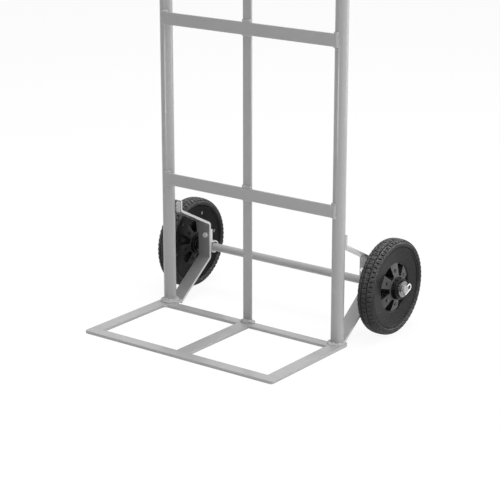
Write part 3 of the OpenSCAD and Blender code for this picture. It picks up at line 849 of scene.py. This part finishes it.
def crossbar_end_edge(drop, sign, level, way):
    """Three short beads at one crossbar's end: at its upper edge (way 1) or its lower (way -1)."""
    end = sign * upright_x
    edge = level + way * (bar_half + 0.5 * MM)
    over_edge = [near(end, bar_back, edge, right=-6 * sign, back=0.3),
                 near(end, bar_back, edge, right=0.2 * sign, back=-1.6)]
    behind = [near(end, bar_back, edge, right=-10 * sign, back=4.6, up=-way),
              near(end, bar_back, edge, right=-7 * sign, back=2.4, up=way)]
    against_tube = [near(end, bar_back, level, right=-8 * sign, back=2.2, up=10 * way),
                    near(end, bar_back, level, right=-8 * sign, back=2.2, up=2 * way)]
    drops = lay_bead(drop, over_edge, 1.8 * MM, 0.3)
    drops += lay_bead(drop, behind, 3.0 * MM, 0.2)
    drops += lay_bead(drop, against_tube, 2.2 * MM, 0.15)
    return drops


def weld_crossbar_ends(drop):
    """Beads up each crossbar's end and round its edges, where it meets the upright."""
    drops = []
    for level in levels:
        for sign in SIDES.values():
            up_end = [near(sign * upright_x, bar_back, level + way * bar_half, back=-0.6)
                      for way in (-1, 0, 1)]
            drops += lay_bead(drop, up_end, 1.4 * MM, 0.3)
            for way in (-1, 1):
                drops += crossbar_end_edge(drop, sign, level, way)
    fuse("crossbar_end_welds", drops, COARSE, 2)


def weld_centre_bar(drop):
    """Beads along the crossbars' edges, across the centre bar behind them, two deep on top."""
    drops = []
    half = size_of("centre_bar").x / 2
    for level in levels:
        for way in (-1, 1):
            edge = level + way * (bar_half + 0.6 * MM)
            line = [near(-half, bar_back, edge, right=0.5, back=-0.7),
                    near(half, bar_back, edge, right=-0.5, back=-0.7)]
            drops += lay_bead(drop, line, 2.1 * MM, 0.3 if way > 0 else 0.12)
            if way > 0:
                higher = [point + Vector((0, 0.1 * MM, 2.6 * MM)) for point in line]
                drops += lay_bead(drop, higher, 1.9 * MM, 0.5)
    fuse("centre_bar_welds", drops, COARSE, 1)


def weld_centre_foot(drop):
    """A collar of weld round the centre bar's foot, and a second run in front of it."""
    low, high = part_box("centre_bar")
    reach = 2.4 * MM
    corner = 2 * MM
    collar = [near(x, y, plate_t, up=0.8) for x, y in
              ((high.x + reach, low.y), (high.x + reach, high.y),
               (high.x - corner, high.y + reach), (low.x + corner, high.y + reach),
               (low.x - reach, high.y), (low.x - reach, low.y),
               (low.x + corner, low.y - reach), (high.x - corner, low.y - reach),
               (high.x + reach, low.y))]
    drops = lay_bead(drop, collar, 3.9 * MM, 0.22)
    front_run = [near(low.x, low.y, plate_t, right=-1, back=-1.2, up=3.4),
                 near(high.x, low.y, plate_t, right=1, back=-1.2, up=3.4)]
    drops += lay_bead(drop, front_run, 2.8 * MM, 0.4)
    fuse("centre_foot_weld", drops, COARSE, 2)


def weld_tab(drop, sign, top):
    """Upright beads on both sides of a bracket's tab, where it meets the back of the tube."""
    drops = []
    for right, back, size, roughness in ((6.5, -1.2, 2.2, 0.15), (-13.5, -2.4, 3.6, 0.22),
                                         (-16.9, -0.6, 2.6, 0.15)):
        line = [near(sign * upright_x, heel_y, top, sign * right, back, up) for up in (-3, -23)]
        drops += lay_bead(drop, line, size * MM, roughness)
    return drops


def fill_behind_rail(drop, sign, strip_edge, bar_edge):
    """Rows of weld behind the plate's back rail, from a strip's inner edge to the side bar's."""
    rail_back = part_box("plate_back_rail")[1].y
    rows = 5
    drops = []
    for k in range(rows):
        y = rail_back + (heel_y - rail_back) * (k + 0.3) / (rows - 0.4)
        row = [near(strip_edge, y, plate_t, right=1.6 * sign, up=-1.8),
               near(bar_edge, y, plate_t, right=2.0 * sign, up=-1.2)]
        drops += lay_bead(drop, row, 2.6 * MM, 0.2)
    return drops


def weld_brackets(drop):
    """All the weld that holds the two brackets, at their tabs and at the heel of the plate."""
    drops = []
    for side, sign in SIDES.items():
        low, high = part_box(side + "_axle_bracket")
        bar_low, bar_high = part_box("plate_" + side + "_bar")
        drops += weld_tab(drop, sign, high.z)
        strip_foot = [near(low.x, heel_y, plate_t, right=1.5, back=1.0, up=0.6),
                      near(high.x, heel_y, plate_t, right=-1.5, back=1.0, up=0.6)]
        drops += lay_bead(drop, strip_foot, 2.0 * MM, 0.2)
        if side == "left":
            drops += fill_behind_rail(drop, sign, high.x, bar_high.x)
        else:
            drops += fill_behind_rail(drop, sign, low.x, bar_low.x)
    fuse("bracket_welds", drops, COARSE, 2)


def weld_plate_corners(drop):
    """Short upright beads in the plate's inner corners, and a fuller one at the left heel."""
    drops = []
    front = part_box("plate_front_bar")[1].y
    rail_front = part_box("plate_back_rail")[0].y
    side_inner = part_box("plate_right_bar")[0].x
    centre_half = size_of("plate_centre_bar").x / 2
    for x in (-side_inner, -centre_half, centre_half, side_inner):
        way = 1 if x in (-side_inner, centre_half) else -1
        for y, turn in ((front, 1), (rail_front, -1)):
            up_corner = [near(x, y, 0, right=0.5 * way, back=0.5 * turn, up=1.9),
                         near(x, y, plate_t, right=0.5 * way, back=0.5 * turn, up=-1.9)]
            drops += lay_bead(drop, up_corner, 1.7 * MM, 0.08)
    round_heel = [near(-side_inner, rail_front, plate_t / 2, right=0.6, back=-5.0),
                  near(-side_inner, rail_front, plate_t / 2, right=1.8, back=-1.8),
                  near(-side_inner, rail_front, plate_t / 2, right=7.5, back=-0.4)]
    drops += lay_bead(drop, round_heel, 2.4 * MM, 0.1)
    fuse("plate_corner_welds", drops, FINE, 3)


first_drop = weld_drop()
weld_feet(first_drop)
weld_crossbar_ends(first_drop)
weld_centre_bar(first_drop)
weld_centre_foot(first_drop)
weld_brackets(first_drop)
weld_plate_corners(first_drop)
bpy.data.objects.remove(first_drop)


# ---------------------------------------------------------------- floor, light and camera

WHITE_SHARE = 0.92           # of the ground; the rest takes the object's shadow
FLOOR_SIZE = 60              # metres, so that its edge is never in view
FLOOR_DROP = 0.05 * MM       # keeps the floor just under the object
STUDIO_LIGHT = 0.45          # even light from all around
VIEW_AZIMUTH = 36.83         # degrees from straight in front, towards the right
VIEW_ELEVATION = 17.35       # degrees down from level
LENS_RATIO = 3.4077          # focal length over the sensor's width
EYE_RIGHT = 1.9716           # metres from the middle of the object
EYE_BEFORE_UPRIGHTS = 2.6353
EYE_HEIGHT = 1.1859
SENSOR = 36.0                # width of the camera's sensor, in mm


def seen_directly(nodes):
    """1 for rays that come from the eye, straight or by a mirror or through glass, and 0 for light."""
    path = nodes.add("ShaderNodeLightPath")
    seen = nodes.math("MAXIMUM", path.outputs["Is Camera Ray"], path.outputs["Is Glossy Ray"])
    return nodes.math("MAXIMUM", seen, path.outputs["Is Transmission Ray"])


def white_ground(name):
    """Shows white to the eye and in reflections, and keeps a soft shadow of what stands on it."""
    material = bpy.data.materials.new(name)
    material.use_nodes = True
    nodes = Nodes(material.node_tree)
    output = nodes.add("ShaderNodeOutputMaterial")
    cloth = nodes.add("ShaderNodeBsdfDiffuse")
    cloth.inputs["Color"].default_value = grey(0.82)
    glow = nodes.add("ShaderNodeEmission")
    glow.inputs["Color"].default_value = grey(1)
    glow.inputs["Strength"].default_value = 1.0
    mix = nodes.add("ShaderNodeMixShader")
    nodes.link(nodes.math("MULTIPLY", seen_directly(nodes), WHITE_SHARE), mix.inputs[0])
    nodes.link(cloth.outputs[0], mix.inputs[1])
    nodes.link(glow.outputs[0], mix.inputs[2])
    nodes.link(mix.outputs[0], output.inputs["Surface"])
    return material


def make_floor():
    """A wide ground under the wheels."""
    deselect_all()
    bpy.ops.mesh.primitive_plane_add(size=FLOOR_SIZE, location=(0, 0, -FLOOR_DROP))
    floor = bpy.context.active_object
    floor.name = "floor"
    floor.data.materials.append(white_ground("white_ground"))


def make_world():
    """White to the eye and in reflections, and a plain even light on the object."""
    world = bpy.data.worlds.new("studio")
    bpy.context.scene.world = world
    world.use_nodes = True
    nodes = Nodes(world.node_tree)
    output = nodes.add("ShaderNodeOutputWorld")
    white = nodes.add("ShaderNodeBackground")
    white.inputs["Color"].default_value = grey(1)
    white.inputs["Strength"].default_value = 1.0
    soft = nodes.add("ShaderNodeBackground")
    soft.inputs["Color"].default_value = grey(1)
    soft.inputs["Strength"].default_value = STUDIO_LIGHT
    mix = nodes.add("ShaderNodeMixShader")
    nodes.link(seen_directly(nodes), mix.inputs[0])
    nodes.link(soft.outputs[0], mix.inputs[1])
    nodes.link(white.outputs[0], mix.inputs[2])
    nodes.link(mix.outputs[0], output.inputs["Surface"])


def softbox(name, place, target, width, height, power, shows_in="both"):
    """A soft rectangular lamp, which may show only in matt light, or only in gloss."""
    lamp = bpy.data.lights.new(name, "AREA")
    lamp.shape = "RECTANGLE"
    lamp.size = width
    lamp.size_y = height
    lamp.energy = power
    obj = bpy.data.objects.new(name, lamp)
    obj.visible_camera = False
    obj.visible_diffuse = shows_in != "gloss"
    obj.visible_glossy = shows_in != "matt"
    obj.location = place
    obj.rotation_euler = (Vector(target) - Vector(place)).to_track_quat("-Z", "Y").to_euler()
    bpy.context.scene.collection.objects.link(obj)


def make_lights():
    """Key from the right, one from above, a weak one in front, and two that only streak the tubes."""
    softbox("key_right", place=(2.6, 0.3, 1.3), target=(0, 0.1, 1.3),
            width=2.2, height=2.6, power=53, shows_in="matt")
    softbox("top", place=(0.3, 0.3, 4.0), target=(0, 0, 0.3),
            width=2.4, height=2.4, power=156, shows_in="matt")
    softbox("right_back", place=(1.25, 1.45, 0.6), target=(0.25, 0.1, 0.6),
            width=1.1, height=1.2, power=9, shows_in="gloss")
    softbox("front_strip", place=(-0.12, -1.5, 0.15), target=(-0.12, 0, 0.15),
            width=0.35, height=0.3, power=4.2, shows_in="gloss")
    softbox("front", place=(-1.6, -4.0, 1.6), target=(0, 0, 0.4),
            width=2.5, height=2.5, power=12)


def make_camera():
    """Eye in front of the right-hand corner, with a long lens."""
    azimuth = math.radians(VIEW_AZIMUTH)
    elevation = math.radians(VIEW_ELEVATION)
    camera = bpy.data.cameras.new("camera")
    camera.sensor_width = SENSOR
    camera.lens = SENSOR * LENS_RATIO
    obj = bpy.data.objects.new("camera", camera)
    obj.location = (EYE_RIGHT, upright_y - EYE_BEFORE_UPRIGHTS, EYE_HEIGHT)
    look = Vector((-math.sin(azimuth) * math.cos(elevation), math.cos(azimuth) * math.cos(elevation),
                   -math.sin(elevation)))
    obj.rotation_euler = look.to_track_quat("-Z", "Y").to_euler()
    bpy.context.scene.collection.objects.link(obj)
    bpy.context.scene.camera = obj


make_floor()
make_world()
make_lights()
make_camera()
bpy.context.scene.view_settings.view_transform = "Standard"
